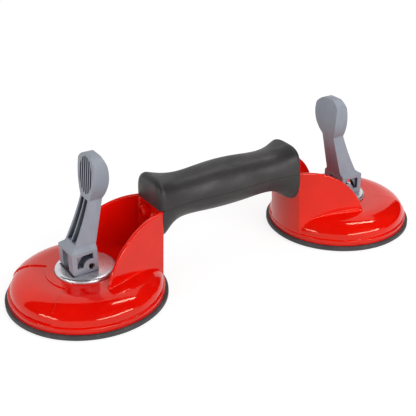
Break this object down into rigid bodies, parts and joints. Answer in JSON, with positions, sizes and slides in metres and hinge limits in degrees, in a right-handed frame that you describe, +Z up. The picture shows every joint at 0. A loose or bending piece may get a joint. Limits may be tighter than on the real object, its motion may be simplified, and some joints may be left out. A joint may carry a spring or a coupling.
{
  "type": "floor tile suction lifter",
  "caption": "Tile suction lifter: cam-lever rubber cups in winged cast brackets joined by a moulded grip; folding a lever outward draws its pad up.",
  "frame": {"origin": "on the floor, midway between the suction cups", "axes": "+X along the handle from the left cup to the right cup, +Z up"},
  "size_m": [0.3534, 0.12, 0.1121],
  "materials": {
    "red_enamel": "gloss red enamel on die-cast aluminium",
    "pad_rubber": "matt dark grey rubber",
    "plain_steel": "plain steel",
    "zinc_plate": "bright zinc plated steel",
    "grey_plastic": "satin grey glass-filled nylon",
    "black_plastic": "fine-grained black plastic",
    "brass_insert": "turned brass"
  },
  "bodies": {
    "lifter": {"cup_body_left": "red_enamel", "cup_body_right": "red_enamel", "rubber_pad_left": "pad_rubber", "rubber_pad_right": "pad_rubber", "cam_plate_left": "zinc_plate", "cam_plate_right": "zinc_plate", "handle_screws_left": "zinc_plate", "handle_screws_right": "zinc_plate", "threaded_inserts_left": "brass_insert", "threaded_inserts_right": "brass_insert", "handle_lower_shell": "black_plastic", "handle_upper_shell": "black_plastic", "shell_screws": "plain_steel"},
    "stem_left": {"lift_stem_left": "plain_steel", "pad_insert_left": "plain_steel", "pivot_pin_left": "plain_steel"},
    "cam_lever_left": {"lever_left": "grey_plastic"},
    "stem_right": {"lift_stem_right": "plain_steel", "pad_insert_right": "plain_steel", "pivot_pin_right": "plain_steel"},
    "cam_lever_right": {"lever_right": "grey_plastic"}
  },
  "joints": [
    {"name": "stem_lift_left", "type": "slide", "parent": "lifter", "child": "stem_left", "axis": [0, 0, 1], "range_m": [0, 0.0098], "deforming": ["rubber_pad_left"]},
    {"name": "lever_fold_left", "type": "hinge", "parent": "stem_left", "child": "cam_lever_left", "pos_m": [-0.1167, 0, 0.0307], "axis": [0, -1, 0], "range_deg": [0, 90]},
    {"name": "stem_lift_right", "type": "slide", "parent": "lifter", "child": "stem_right", "axis": [0, 0, 1], "range_m": [0, 0.0098], "deforming": ["rubber_pad_right"]},
    {"name": "lever_fold_right", "type": "hinge", "parent": "stem_right", "child": "cam_lever_right", "pos_m": [0.1167, 0, 0.0307], "axis": [0, 1, 0], "range_deg": [0, 90]}
  ],
  "couplings": [
    {"joint": "stem_lift_left", "follows": "lever_fold_left", "m_per_rad": 0.006238},
    {"joint": "stem_lift_right", "follows": "lever_fold_right", "m_per_rad": 0.006238}
  ]
}
